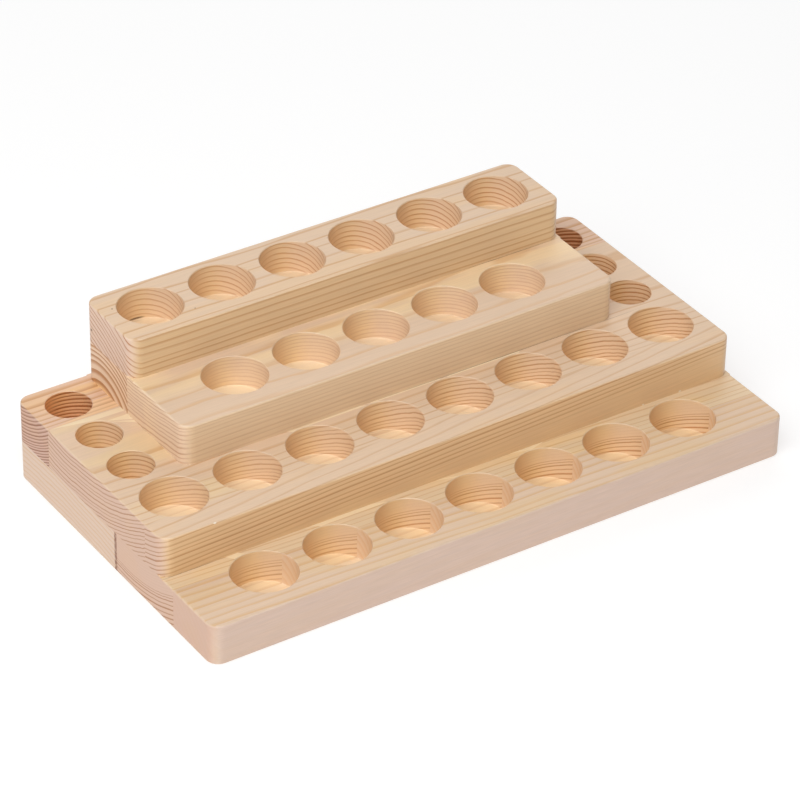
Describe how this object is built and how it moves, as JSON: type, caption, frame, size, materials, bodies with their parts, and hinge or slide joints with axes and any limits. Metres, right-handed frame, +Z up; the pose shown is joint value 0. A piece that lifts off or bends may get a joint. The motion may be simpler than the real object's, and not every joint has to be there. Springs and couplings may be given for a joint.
{
  "type": "paint rack",
  "caption": "Stepped solid-wood rack of four tiers, with rows of blind round holes for paint bottles and a column of smaller holes at each end.",
  "frame": {"origin": "centre of the footprint, on the underside", "axes": "+X along the length, to the right as seen from the lowest step; +Y from the lowest step to the back; +Z up"},
  "size_m": [0.3, 0.169, 0.08],
  "materials": {
    "pine_base_front": "bare sanded pine, matt",
    "pine_base_middle": "bare sanded pine, matt",
    "pine_base_back": "bare sanded pine, matt",
    "pine_second_front": "bare sanded pine, matt",
    "pine_second_middle": "bare sanded pine, matt",
    "pine_second_back": "bare sanded pine, matt",
    "pine_third_front": "bare sanded pine, matt",
    "pine_third_back": "bare sanded pine, matt",
    "pine_top": "bare sanded pine, matt"
  },
  "bodies": {
    "root": {"base_tier_front_strip": "pine_base_front", "base_tier_middle_strip": "pine_base_middle", "base_tier_back_strip": "pine_base_back", "second_tier_front_strip": "pine_second_front", "second_tier_middle_strip": "pine_second_middle", "second_tier_back_strip": "pine_second_back", "third_tier_front_strip": "pine_third_front", "third_tier_back_strip": "pine_third_back", "top_tier_board": "pine_top"}
  },
  "joints": []
}
